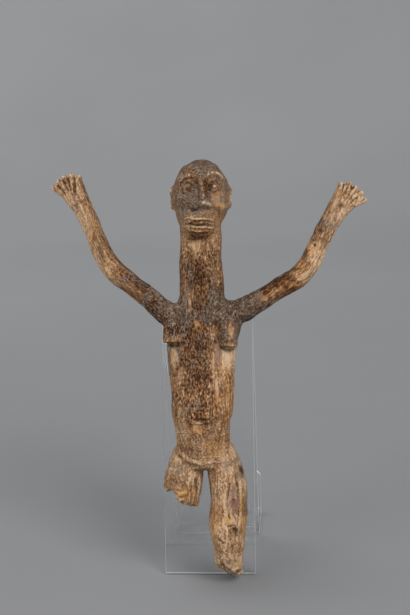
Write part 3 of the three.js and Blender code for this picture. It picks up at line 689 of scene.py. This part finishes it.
def carve(place, normal):
    """How far the carver's work and wear push each point out along its normal."""
    front = smoothstep(0.05, 0.4, normal[:, 2])
    back = smoothstep(0.05, 0.4, -normal[:, 2])
    upright = grain_place(place)
    share = arm_share(place)
    on_body = 1 - share
    relief = np.zeros(len(place))
    for half_width, height, places in FACE_LINES + BODY_LINES + LEG_LINES:
        relief += height * line_profile(place, half_width, places) * front
    for half_width, height, places in EAR_LINES + FINGER_LINES:
        relief += height * line_profile(place, half_width, places)
    for half_width, height, places in BACK_LINES:
        relief += height * line_profile(place, half_width, places) * back
    for across, up, radius, height in FRONT_SPOTS:
        far = np.hypot(place[:, 0] - across, place[:, 1] - up)
        relief += height * np.exp(-((far / radius) ** 2)) * front

    above_neck = place[:, 1] - NECK_TOP
    face = smoothstep(0, 8, above_neck) * (np.abs(place[:, 0]) < 18) * front
    hand = smoothstep(0, 8, place[:, 1] - WRIST) * share
    quiet = 1 - 0.6 * face - 0.5 * hand
    skull = smoothstep(4, 12, above_neck) * (np.abs(place[:, 0]) < 26)
    swell = layered_noise(place / SWELL_SIZE, 11, 2)
    relief += SWELL_HEIGHT * swell * quiet * (1 - 0.9 * skull)
    facets = np.abs(gradient_noise(upright / FACET_SIZE, 21))
    leg = smoothstep(76, 66, place[:, 1]) * smoothstep(20, 32, place[:, 1]) * (place[:, 0] > 2)
    cut = FACET_HEIGHT * facets - FACET_DEPTH
    relief += cut * quiet * (1 - 0.8 * skull) * (1 - 0.75 * leg)
    fibres = layered_noise(upright / FIBRE_SIZE, 31, 2)
    relief += FIBRE_HEIGHT * fibres * (1 - 0.6 * face)
    cracks = 1 - np.abs(gradient_noise(upright / CRACK_SIZE, 41))
    relief -= CRACK_DEPTH * smoothstep(0.93, 1.0, cracks) * (1 - face) * (1 - 0.6 * share)

    fray = frayed_edges(place)
    crust = zone_levels(place)[:, 1]
    grit = layered_noise(place / GRIT_SIZE, 61, 2)
    relief += GRIT_HEIGHT * crust * grit * (1 - 0.75 * face)
    pitted = patch_cover(place, PITTED_SPOTS, fray) * front
    pits = layered_noise(place / PIT_SIZE, 71, 2)
    relief += PIT_DEPTH * pitted * np.minimum(pits, 0.15)
    splinters = gradient_noise(upright / SPLINTER_SIZE, 81)
    splinters += 0.7 * layered_noise(place / CRUMB_SIZE, 82, 2)
    relief += SPLINTER_HEIGHT * broken_share(place) * splinters * on_body
    return relief


def carved_figure():
    """The figure as carved wood: the solid's own form with its relief and its surface."""
    thing = copy_of_node("figure", "figure_wood")
    mesh = with_modifier(thing, "REMESH", mode="VOXEL", voxel_size=CARVING_CELL * METRES)
    edges, counts = mesh_edges(mesh)
    place, _ = mesh_places(mesh)
    for _ in range(SMOOTHING_ROUNDS):
        for pull in SMOOTHING_PULLS:
            place += pull * (neighbour_mean(place, edges, counts) - place)
    blend = np.maximum(chest_share(place), knee_share(place))[:, None]
    for _ in range(BLENDING_ROUNDS):
        place += BLENDING_PULL * blend * (neighbour_mean(place, edges, counts) - place)
    set_places(mesh, place)
    place, normal = mesh_places(mesh)
    set_places(mesh, place + normal * carve(place, normal)[:, None])
    triangles = 2 * len(mesh.polygons)
    mesh = with_modifier(thing, "DECIMATE", ratio=min(1, MOST_TRIANGLES / triangles),
                         use_collapse_triangulate=True)
    mesh.shade_smooth()
    colour_zones(mesh)
    return thing


def add_attribute(mesh, name, values):
    """Stores one number, or one place, for each vertex."""
    kind = "FLOAT_VECTOR" if values.ndim == 2 else "FLOAT"
    attribute = mesh.attributes.new(name, kind, "POINT")
    attribute.data.foreach_set("vector" if values.ndim == 2 else "value",
                               values.astype(np.float32).ravel())


def drawn_lines(place, normal, sign):
    """How far each point lies on a drawn ridge, or with a sign of -1 in a drawn groove."""
    front = smoothstep(-0.1, 0.3, normal[:, 2])
    cover = np.zeros(len(place))
    for half_width, height, places in FACE_LINES + BODY_LINES + LEG_LINES:
        if sign * height > 0 and half_width < BROAD_LINE:
            cover += abs(height) * line_profile(place, half_width, places) * front
    for half_width, height, places in EAR_LINES + FINGER_LINES:
        if sign * height > 0:
            cover += abs(height) * line_profile(place, half_width, places)
    for across, up, radius, height in FRONT_SPOTS:
        if sign * height > 0:
            far = np.hypot(place[:, 0] - across, place[:, 1] - up)
            cover += abs(height) * np.exp(-((far / radius) ** 2)) * front
    return np.clip(cover, 0, 1)


def colour_zones(mesh):
    """Stores on the mesh where each colour of the wood lies, and where painted light and shade lie, for its
    material to read.
    """
    place, normal = mesh_places(mesh)
    edges, counts = mesh_edges(mesh)
    front = smoothstep(-0.1, 0.3, normal[:, 2])
    arm = smoothstep(34, 44, abs(place[:, 0]))
    fray = frayed_edges(place)
    levels = zone_levels(place)
    pale = patch_cover(place, PALE_SPOTS, fray) * front
    dark = patch_cover(place, DARK_SPOTS, fray) * front
    rosy = patch_cover(place, ROSY_SPOTS, fray) * front
    outward = 0.7 * (np.sign(place[:, 0]) * normal[:, 0] - normal[:, 1])
    wood = levels[:, 0] + 0.4 * (1.1 - levels[:, 0]) * pale
    # Each arm is made paler on its outer and lower sides, and, further down, darker on its top and inner
    # sides.
    wood += 0.22 * arm * np.clip(outward, -0.5, 1)
    add_attribute(mesh, "pale", np.clip(wood, 0, 1))
    up = place[:, 1]
    above = smoothstep(0.3, 0.9, normal[:, 1]) * smoothstep(0, 24, up - PELVIS_TOP)
    add_attribute(mesh, "crust", np.clip(levels[:, 1] * (1 - 0.8 * pale) + 0.3 * above, 0, 1))
    add_attribute(mesh, "rusty", patch_cover(place, RUSTY_SPOTS, fray) * front)
    add_attribute(mesh, "rosy", rosy)
    add_attribute(mesh, "yellow", patch_cover(place, YELLOW_SPOTS, fray) * front)

    sunk = np.einsum("ij,ij->i", neighbour_mean(place, edges, counts) - place, normal)
    for _ in range(2):
        sunk = neighbour_mean(sunk[:, None], edges, counts)[:, 0]
    # Painted shade: on the chest, neck and chin, faces that look down are darkened.
    below = smoothstep(0.2, 0.7, -normal[:, 1]) * smoothstep(0, 10, up - UNDER_BREASTS)
    below *= (abs(place[:, 0]) < 28) * (up < CHIN)
    top = smoothstep(0.3, 0.9, normal[:, 1]) * smoothstep(0, 10, up - CROWN) * (1 - arm)
    # Darker in hollows and drawn grooves, partly as dirt and partly as painted shade; in the dark spots,
    # some of them painted shadows; on faces that look down, as painted shade; on the top of the head; and
    # on the tops and inner sides of the arms.
    dirt_and_shade = smoothstep(0.02, 0.14, sunk) + 0.8 * drawn_lines(place, normal, -1) + 0.55 * dark
    dirt_and_shade += 0.7 * below + 0.35 * top + 0.5 * arm * smoothstep(0.35, 0.95, -outward)
    add_attribute(mesh, "dirt_and_shade", np.clip(dirt_and_shade * (1 - 0.85 * rosy), 0, 1))
    # Paler on ridges and bulges, partly as wear and partly as a painted highlight.
    ridges = drawn_lines(place, normal, 1)
    add_attribute(mesh, "wear_and_highlight", np.clip(0.6 * smoothstep(0.02, 0.12, -sunk) + ridges, 0, 1))
    calm = 0.3 * np.maximum(smoothstep(0, 12, up - NECK_TOP), arm)
    add_attribute(mesh, "calm", np.maximum(calm, 0.75 * pale))
    add_attribute(mesh, "grain", grain_place(place))


class Nodes:
    """A short way to build a material's nodes."""

    def __init__(self, name):
        self.material = bpy.data.materials.new(name)
        self.material.use_nodes = True
        self.tree = self.material.node_tree
        self.shader = self.tree.nodes["Principled BSDF"]

    def add(self, kind, inputs, **settings):
        node = self.tree.nodes.new(kind)
        for name, value in settings.items():
            setattr(node, name, value)
        for key, value in inputs.items():
            self.give(node.inputs[key], value)
        return node

    def give(self, socket, value):
        if isinstance(value, bpy.types.NodeSocket):
            self.tree.links.new(value, socket)
        else:
            socket.default_value = value

    def attribute(self, name, output="Fac"):
        return self.add("ShaderNodeAttribute", {}, attribute_name=name).outputs[output]

    def math(self, operation, a, b=0.0, c=0.0):
        return self.add("ShaderNodeMath", {0: a, 1: b, 2: c}, operation=operation).outputs[0]

    def ramp(self, value, low, high):
        """0 where value is at low, 1 where it is at high."""
        inputs = {"Value": value, "From Min": low, "From Max": high}
        node = self.add("ShaderNodeMapRange", inputs, interpolation_type="SMOOTHSTEP")
        return node.outputs["Result"]

    def noise(self, place, stretch, detail=2.0, roughness=0.55):
        scaled = self.add("ShaderNodeVectorMath", {0: place, 1: stretch}, operation="MULTIPLY")
        inputs = {"Vector": scaled.outputs[0], "Scale": 1.0, "Detail": detail,
                  "Roughness": roughness}
        return self.add("ShaderNodeTexNoise", inputs).outputs["Fac"]

    def ramp_of_colours(self, value, stops):
        node = self.add("ShaderNodeValToRGB", {"Fac": value})
        elements = node.color_ramp.elements
        while len(elements) < len(stops):
            elements.new(0.5)
        for element, (place, colour) in zip(elements, stops):
            element.position = place
            element.color = shade(*colour)
        return node.outputs["Color"]

    def parts(self, place):
        return self.add("ShaderNodeSeparateXYZ", {0: place}).outputs

    def mix(self, share, first, second):
        node = self.add("ShaderNodeMix", {0: share, 6: first, 7: second}, data_type="RGBA")
        return node.outputs[2]


def shade(red, green, blue):
    """A colour given as it looks on a screen, from 0 to 255, as the light values of a shader."""
    def light(value):
        value /= 255
        return value / 12.92 if value <= 0.04045 else ((value + 0.055) / 1.055) ** 2.4

    return (light(red), light(green), light(blue), 1.0)


def wood_material():
    """Worn wood with its grain, specks and cracks, under what is left of a dark crust, with painted shade
    in its hollows and under overhangs and painted highlights on its ridges.
    """
    nodes = Nodes("carved_wood")
    grain = nodes.attribute("grain", "Vector")

    def swing(value, strength):
        """A noise widened about its middle, with a middle of zero."""
        return nodes.math("MULTIPLY_ADD", value, strength, -0.5 * strength)

    def total(*values):
        whole = values[0]
        for value in values[1:]:
            whole = nodes.math("ADD", whole, value)
        return whole

    def thin_lines(value, width):
        """1 along the lines where a noise passes through its middle."""
        away = nodes.math("ABSOLUTE", nodes.math("SUBTRACT", value, 0.5))
        return nodes.ramp(away, width, 0.0)

    # Each noise is given by its lumps in a millimetre: across the grain, outwards and along it.
    fibre = nodes.noise(grain, (0.6, 0.6, 0.07), 3, 0.6)
    streak = nodes.noise(grain, (0.21, 0.21, 0.02), 2)
    speck = nodes.noise(grain, (0.9, 0.9, 0.45), 2, 0.6)
    blotch = nodes.noise(grain, (0.16, 0.16, 0.11), 4, 0.66)
    fleck = nodes.noise(grain, (0.55, 0.55, 0.42), 3, 0.7)
    film = nodes.noise(grain, (0.11, 0.11, 0.09), 3, 0.5)
    pits = nodes.ramp(nodes.noise(grain, (0.62, 0.62, 0.42), 2, 0.6), 0.6, 0.68)
    crack = nodes.math("MULTIPLY", thin_lines(nodes.noise(grain, (0.27, 0.27, 0.022), 2), 0.022),
                       nodes.ramp(blotch, 0.46, 0.6))
    hair = nodes.math("MULTIPLY", thin_lines(nodes.noise(grain, (0.2, 0.2, 0.2), 2), 0.03),
                      nodes.ramp(fleck, 0.46, 0.62))

    sound = nodes.ramp(nodes.attribute("pale"), 0.42, 0.72)
    quiet = nodes.math("MAXIMUM", nodes.math("MULTIPLY", sound, 0.4), nodes.attribute("calm"))
    mottle = nodes.math("MULTIPLY", swing(speck, 2.4), nodes.math("SUBTRACT", 1.0, quiet))
    # Paler on ridges and bulges, partly wear and partly a painted highlight.
    tone = total(nodes.attribute("pale"), swing(fibre, 0.85), swing(streak, 0.5), mottle,
                 swing(blotch, 0.6), nodes.math("MULTIPLY", nodes.attribute("wear_and_highlight"), 0.34))
    warm = nodes.math("MAXIMUM", nodes.math("MULTIPLY", nodes.attribute("rusty"), 0.85),
                      nodes.math("MULTIPLY", nodes.ramp(blotch, 0.48, 0.64), 0.6))
    colour = nodes.mix(warm, nodes.ramp_of_colours(tone, WOOD_TONES),
                       nodes.ramp_of_colours(tone, WARM_TONES))
    colour = nodes.mix(nodes.math("MULTIPLY", nodes.attribute("rosy"), 0.72), colour,
                       shade(164, 127, 110))
    colour = nodes.mix(nodes.math("MULTIPLY", nodes.attribute("yellow"), 0.5), colour,
                       shade(226, 174, 106))
    crust_tone = total(swing(fleck, 1.1), swing(speck, 1.5), swing(film, 0.9), 0.42,
                       nodes.math("MULTIPLY", nodes.attribute("pale"), 0.25),
                       nodes.math("MULTIPLY", hair, 0.8))
    crust_colour = nodes.ramp_of_colours(crust_tone, CRUST_TONES)
    crust = total(nodes.attribute("crust"), swing(film, 1.6), swing(blotch, 1.6), swing(speck, 1.3))
    kept = nodes.math("MULTIPLY", nodes.ramp(crust, 0.32, 0.6),
                      nodes.ramp(nodes.attribute("crust"), 0.06, 0.36))
    kept = nodes.math("MULTIPLY", kept, nodes.ramp(nodes.attribute("wear_and_highlight"), 1.1, 0.25))
    colour = nodes.mix(nodes.math("MULTIPLY", kept, 0.9), colour, crust_colour)
    pitted = nodes.math("MULTIPLY_ADD", sound, -0.7, 0.85)
    # Darkened by dirt, pits and cracks, and by painted shade in hollows, in grooves, on faces that look
    # down and in some dark spots.
    dirt_and_shade = total(nodes.math("MULTIPLY", nodes.attribute("dirt_and_shade"), 0.72),
                 nodes.math("MULTIPLY", pits, pitted),
                 nodes.math("MULTIPLY", crack, nodes.math("MULTIPLY_ADD", sound, -0.45, 0.6)))
    colour = nodes.mix(nodes.math("MINIMUM", dirt_and_shade, 0.88), colour, shade(46, 26, 13))
    nodes.give(nodes.shader.inputs["Base Color"], colour)
    nodes.give(nodes.shader.inputs["Roughness"], nodes.math("MULTIPLY_ADD", speck, 0.35, 0.5))
    nodes.shader.inputs["Specular IOR Level"].default_value = 0.12
    height = total(swing(fibre, 0.5), swing(speck, 0.9), swing(fleck, 0.6),
                   nodes.math("MULTIPLY", pits, -0.5), nodes.math("MULTIPLY", crack, -0.5))
    bump = nodes.add("ShaderNodeBump", {"Height": height, "Strength": 0.8,
                                        "Distance": 0.6 * METRES})
    nodes.give(nodes.shader.inputs["Normal"], bump.outputs["Normal"])
    return nodes.material


def clear_material(name, roughness, tint, cover, clearness):
    """Acrylic: how rough it is, its tint, how much it covers and how much light passes through."""
    nodes = Nodes(name)
    nodes.shader.inputs["Roughness"].default_value = roughness
    nodes.shader.inputs["Base Color"].default_value = tint
    nodes.shader.inputs["IOR"].default_value = ACRYLIC_IOR
    nodes.shader.inputs["Transmission Weight"].default_value = clearness
    nodes.shader.inputs["Alpha"].default_value = cover
    return nodes.material


def clear_easel():
    """The folded sheet, its cut edges softened, with a painted highlight along the fold at the rear leg's
    foot.
    """
    thing = copy_of_node("easel", "easel_sheet")
    with_modifier(thing, "WELD", merge_threshold=0.01 * METRES)
    mesh = with_modifier(thing, "BEVEL", width=EDGE_ROUND * METRES, segments=2,
                         limit_method="ANGLE", angle_limit=math.radians(40))
    mesh.shade_smooth()
    mesh.set_sharp_from_angle(angle=math.radians(35))
    mesh.materials.clear()
    mesh.materials.append(clear_material("clear_sheet", 0.0, (0.985, 0.99, 0.99, 1), 0.4, 1.0))
    # The whiter second material covers the cut edges, and the fold at the rear leg's foot as a painted
    # highlight.
    mesh.materials.append(clear_material("sheet_cut_edge_and_painted_glint", 0.3, (0.98, 0.99, 0.99, 1), 0.95, 0.12))
    for face in mesh.polygons:
        face.material_index = int(is_cut_edge(face) or is_bright_fold(face))
    return thing


def is_cut_edge(face):
    """Whether a face lies on a side of the sheet or on the plate's foot, where the cuts show."""
    if abs(face.normal.x) > 0.3:
        return True
    reach = 2 * SHEET_THICKNESS * METRES
    at_foot = face.center.y < easel_low.y + reach and face.center.z < reach
    return at_foot and face.normal.dot(Vector(UP)) < -0.3


def is_bright_fold(face):
    """Whether a face lies on the line along the rear leg's foot that gets the whiter edge material, as a
    painted highlight where the fold catches light.
    """
    middle = (easel_low.y + easel_high.y) / 2
    behind = face.center.y > middle and face.center.z < 2 * SHEET_THICKNESS * METRES
    return behind and face.normal.y < -0.35 and face.normal.z < -0.6


def studio():
    """A plain pale floor that curves up into a wall, painted darker towards the front, soft lights and an
    even sky, in metres.
    """
    floor_front, floor_back, bend, wall_top, half = -3.5, 1.15, 1.0, 4.2, 4.5
    bend_steps = 24
    level = -FLOOR_GAP * METRES
    profile = [(floor_front, level), (floor_back, level)]
    for step in range(1, bend_steps + 1):
        angle = math.radians(90 * step / bend_steps)
        height = level + bend * (1 - math.cos(angle))
        profile.append((floor_back + bend * math.sin(angle), height))
    profile.append((floor_back + bend, wall_top))
    vertices = [(side * half, y, z) for y, z in profile for side in (-1, 1)]
    faces = [(2 * i, 2 * i + 1, 2 * i + 3, 2 * i + 2) for i in range(len(profile) - 1)]
    mesh = bpy.data.meshes.new("floor")
    mesh.from_pydata(vertices, [], faces)
    mesh.shade_smooth()
    floor = bpy.data.objects.new("floor", mesh)
    bpy.context.scene.collection.objects.link(floor)
    nodes = Nodes("floor_paper")
    place = nodes.add("ShaderNodeTexCoord", {}).outputs["Object"]
    cloud = nodes.noise(place, (3.0, 3.0, 3.0), 2)
    paper = nodes.mix(nodes.ramp(cloud, 0.2, 0.8), shade(156, 157, 159), shade(160, 161, 163))
    depth = nodes.parts(place)[1]
    # Painted shade: the paper is darker towards the front, fading out towards the wall.
    near = nodes.math("MULTIPLY", nodes.ramp(depth, 1.3, 0.0), 0.55)
    paper = nodes.mix(near, paper, shade(120, 121, 123))
    nodes.give(nodes.shader.inputs["Base Color"], paper)
    nodes.shader.inputs["Roughness"].default_value = 0.9
    nodes.shader.inputs["Specular IOR Level"].default_value = 0.15
    mesh.materials.append(nodes.material)

    for name, spot, aim, size, power in ROOM_LIGHTS:
        lamp = bpy.data.lights.new(name, "AREA")
        lamp.shape = "SQUARE"
        lamp.size = size
        lamp.energy = power
        light = bpy.data.objects.new(name, lamp)
        light.location = spot
        light.rotation_euler = (Vector(aim) - Vector(spot)).to_track_quat("-Z", "Y").to_euler()
        bpy.context.scene.collection.objects.link(light)
    world = bpy.data.worlds.new("studio_air")
    world.use_nodes = True
    world.node_tree.nodes["Background"].inputs["Color"].default_value = (1, 1, 1, 1)
    world.node_tree.nodes["Background"].inputs["Strength"].default_value = SKY_STRENGTH
    bpy.context.scene.world = world


def photograph_camera():
    """The camera at the photograph's angle, distance and framing."""
    level = math.cos(CAMERA_HEIGHT)
    back = Vector((math.sin(CAMERA_AZIMUTH) * level, -math.cos(CAMERA_AZIMUTH) * level,
                   math.sin(CAMERA_HEIGHT)))
    right = Vector((math.cos(CAMERA_AZIMUTH), math.sin(CAMERA_AZIMUTH), 0))
    up = back.cross(right)
    turned_right = right * math.cos(CAMERA_ROLL) + up * math.sin(CAMERA_ROLL)
    turned_up = up * math.cos(CAMERA_ROLL) - right * math.sin(CAMERA_ROLL)
    camera = bpy.data.objects.new("camera", bpy.data.cameras.new("camera"))
    camera.data.sensor_width = SENSOR_WIDTH
    camera.data.sensor_fit = "AUTO"
    camera.data.lens = SENSOR_WIDTH * FOCAL_LENGTH / PHOTOGRAPH_HEIGHT
    camera.data.clip_start = 0.05
    camera.data.clip_end = 20
    camera.matrix_world = (Matrix.Translation((AIM + back * CAMERA_DISTANCE) * METRES)
                           @ Matrix((turned_right, turned_up, back)).transposed().to_4x4())
    bpy.context.scene.collection.objects.link(camera)
    bpy.context.scene.camera = camera


photograph_camera()
studio()

figure = carved_figure()
figure.data.materials.clear()
figure.data.materials.append(wood_material())
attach(figure, "root")
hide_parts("figure")

easel = clear_easel()
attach(easel, "root")
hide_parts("easel")

bpy.context.scene.view_settings.view_transform = "Standard"
bpy.context.scene.view_settings.look = "None"
